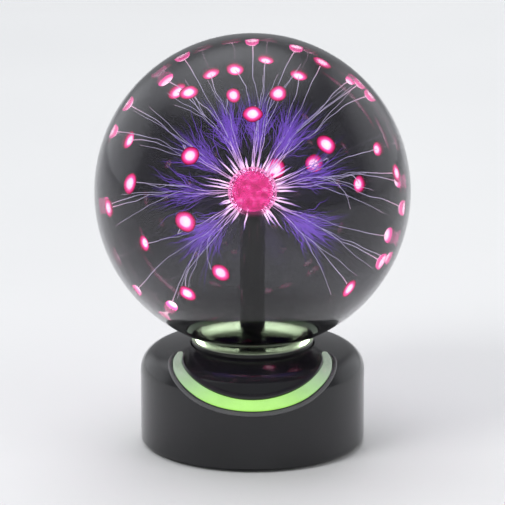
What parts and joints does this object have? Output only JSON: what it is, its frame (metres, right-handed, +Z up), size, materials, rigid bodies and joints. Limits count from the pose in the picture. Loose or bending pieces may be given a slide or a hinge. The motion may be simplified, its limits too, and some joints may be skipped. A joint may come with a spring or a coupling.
{
  "type": "plasma ball",
  "caption": "Desk lamp with a sealed glass globe round a central electrode, on a drum base with a crescent light window and a slide switch.",
  "frame": {"origin": "on the table under the globe's axis, at the middle of the round base", "axes": "+Z up along the globe's axis, -Y to the front where the crescent light window is, +Y to the rear panel with the switch and the power inlet, +X to the right seen from the front"},
  "size_m": [0.15, 0.15, 0.198],
  "materials": {
    "globe_glass": "polished",
    "gloss_black": "glossy",
    "matt_black": "matt",
    "light_green": "translucent, lit",
    "pale_liner": "translucent",
    "silicone": "satin",
    "black_rubber": "matt",
    "pink_core": "mottled, lit",
    "bright_steel": "zinc plated",
    "brass": "bright",
    "copper": "enamelled",
    "aluminium": "extruded",
    "ferrite": "matt",
    "circuit_board": "lacquered",
    "capacitor_sleeve": "satin",
    "red_wire": "satin",
    "white_wire": "satin",
    "led_lens": "clear, lit"
  },
  "bodies": {
    "lamp": {"base_shell": "gloss_black", "bottom_plate": "matt_black", "light_crescent": "light_green", "collar_ring": "pale_liner", "globe_socket": "matt_black", "neck_pad": "black_rubber", "neck_gasket": "silicone", "foot_1": "black_rubber", "foot_2": "black_rubber", "foot_3": "black_rubber", "foot_4": "black_rubber", "base_screw_1": "bright_steel", "base_screw_2": "bright_steel", "base_screw_3": "bright_steel", "base_screw_4": "bright_steel", "socket_screw_1": "bright_steel", "socket_screw_2": "bright_steel", "socket_screw_3": "bright_steel", "glass_globe": "globe_glass", "electrode_tube": "globe_glass", "exhaust_tip": "globe_glass", "electrode_core": "pink_core", "electrode_rod": "brass", "stem_sleeve": "matt_black", "main_board": "circuit_board", "board_screw_1": "bright_steel", "board_screw_2": "bright_steel", "board_screw_3": "bright_steel", "board_screw_4": "bright_steel", "transformer_core": "ferrite", "transformer_bobbin": "matt_black", "transformer_winding": "copper", "primary_winding": "copper", "hv_terminal": "brass", "hv_lead": "red_wire", "heat_sink": "aluminium", "power_transistor": "matt_black", "transistor_bolt": "bright_steel", "capacitor_large": "capacitor_sleeve", "capacitor_small": "capacitor_sleeve", "control_chip": "matt_black", "microphone": "aluminium", "dc_jack": "matt_black", "dc_jack_pin": "bright_steel", "switch_body": "bright_steel", "led_board": "circuit_board", "led_1": "led_lens", "led_2": "led_lens", "led_3": "led_lens", "led_wire_1": "white_wire", "led_wire_2": "red_wire"},
    "switch": {"switch_knob": "matt_black"}
  },
  "joints": [
    {"name": "mode_switch_slide", "type": "slide", "parent": "lamp", "child": "switch", "axis": [1, 0, 0], "range_m": [-0.002, 0.002]}
  ]
}
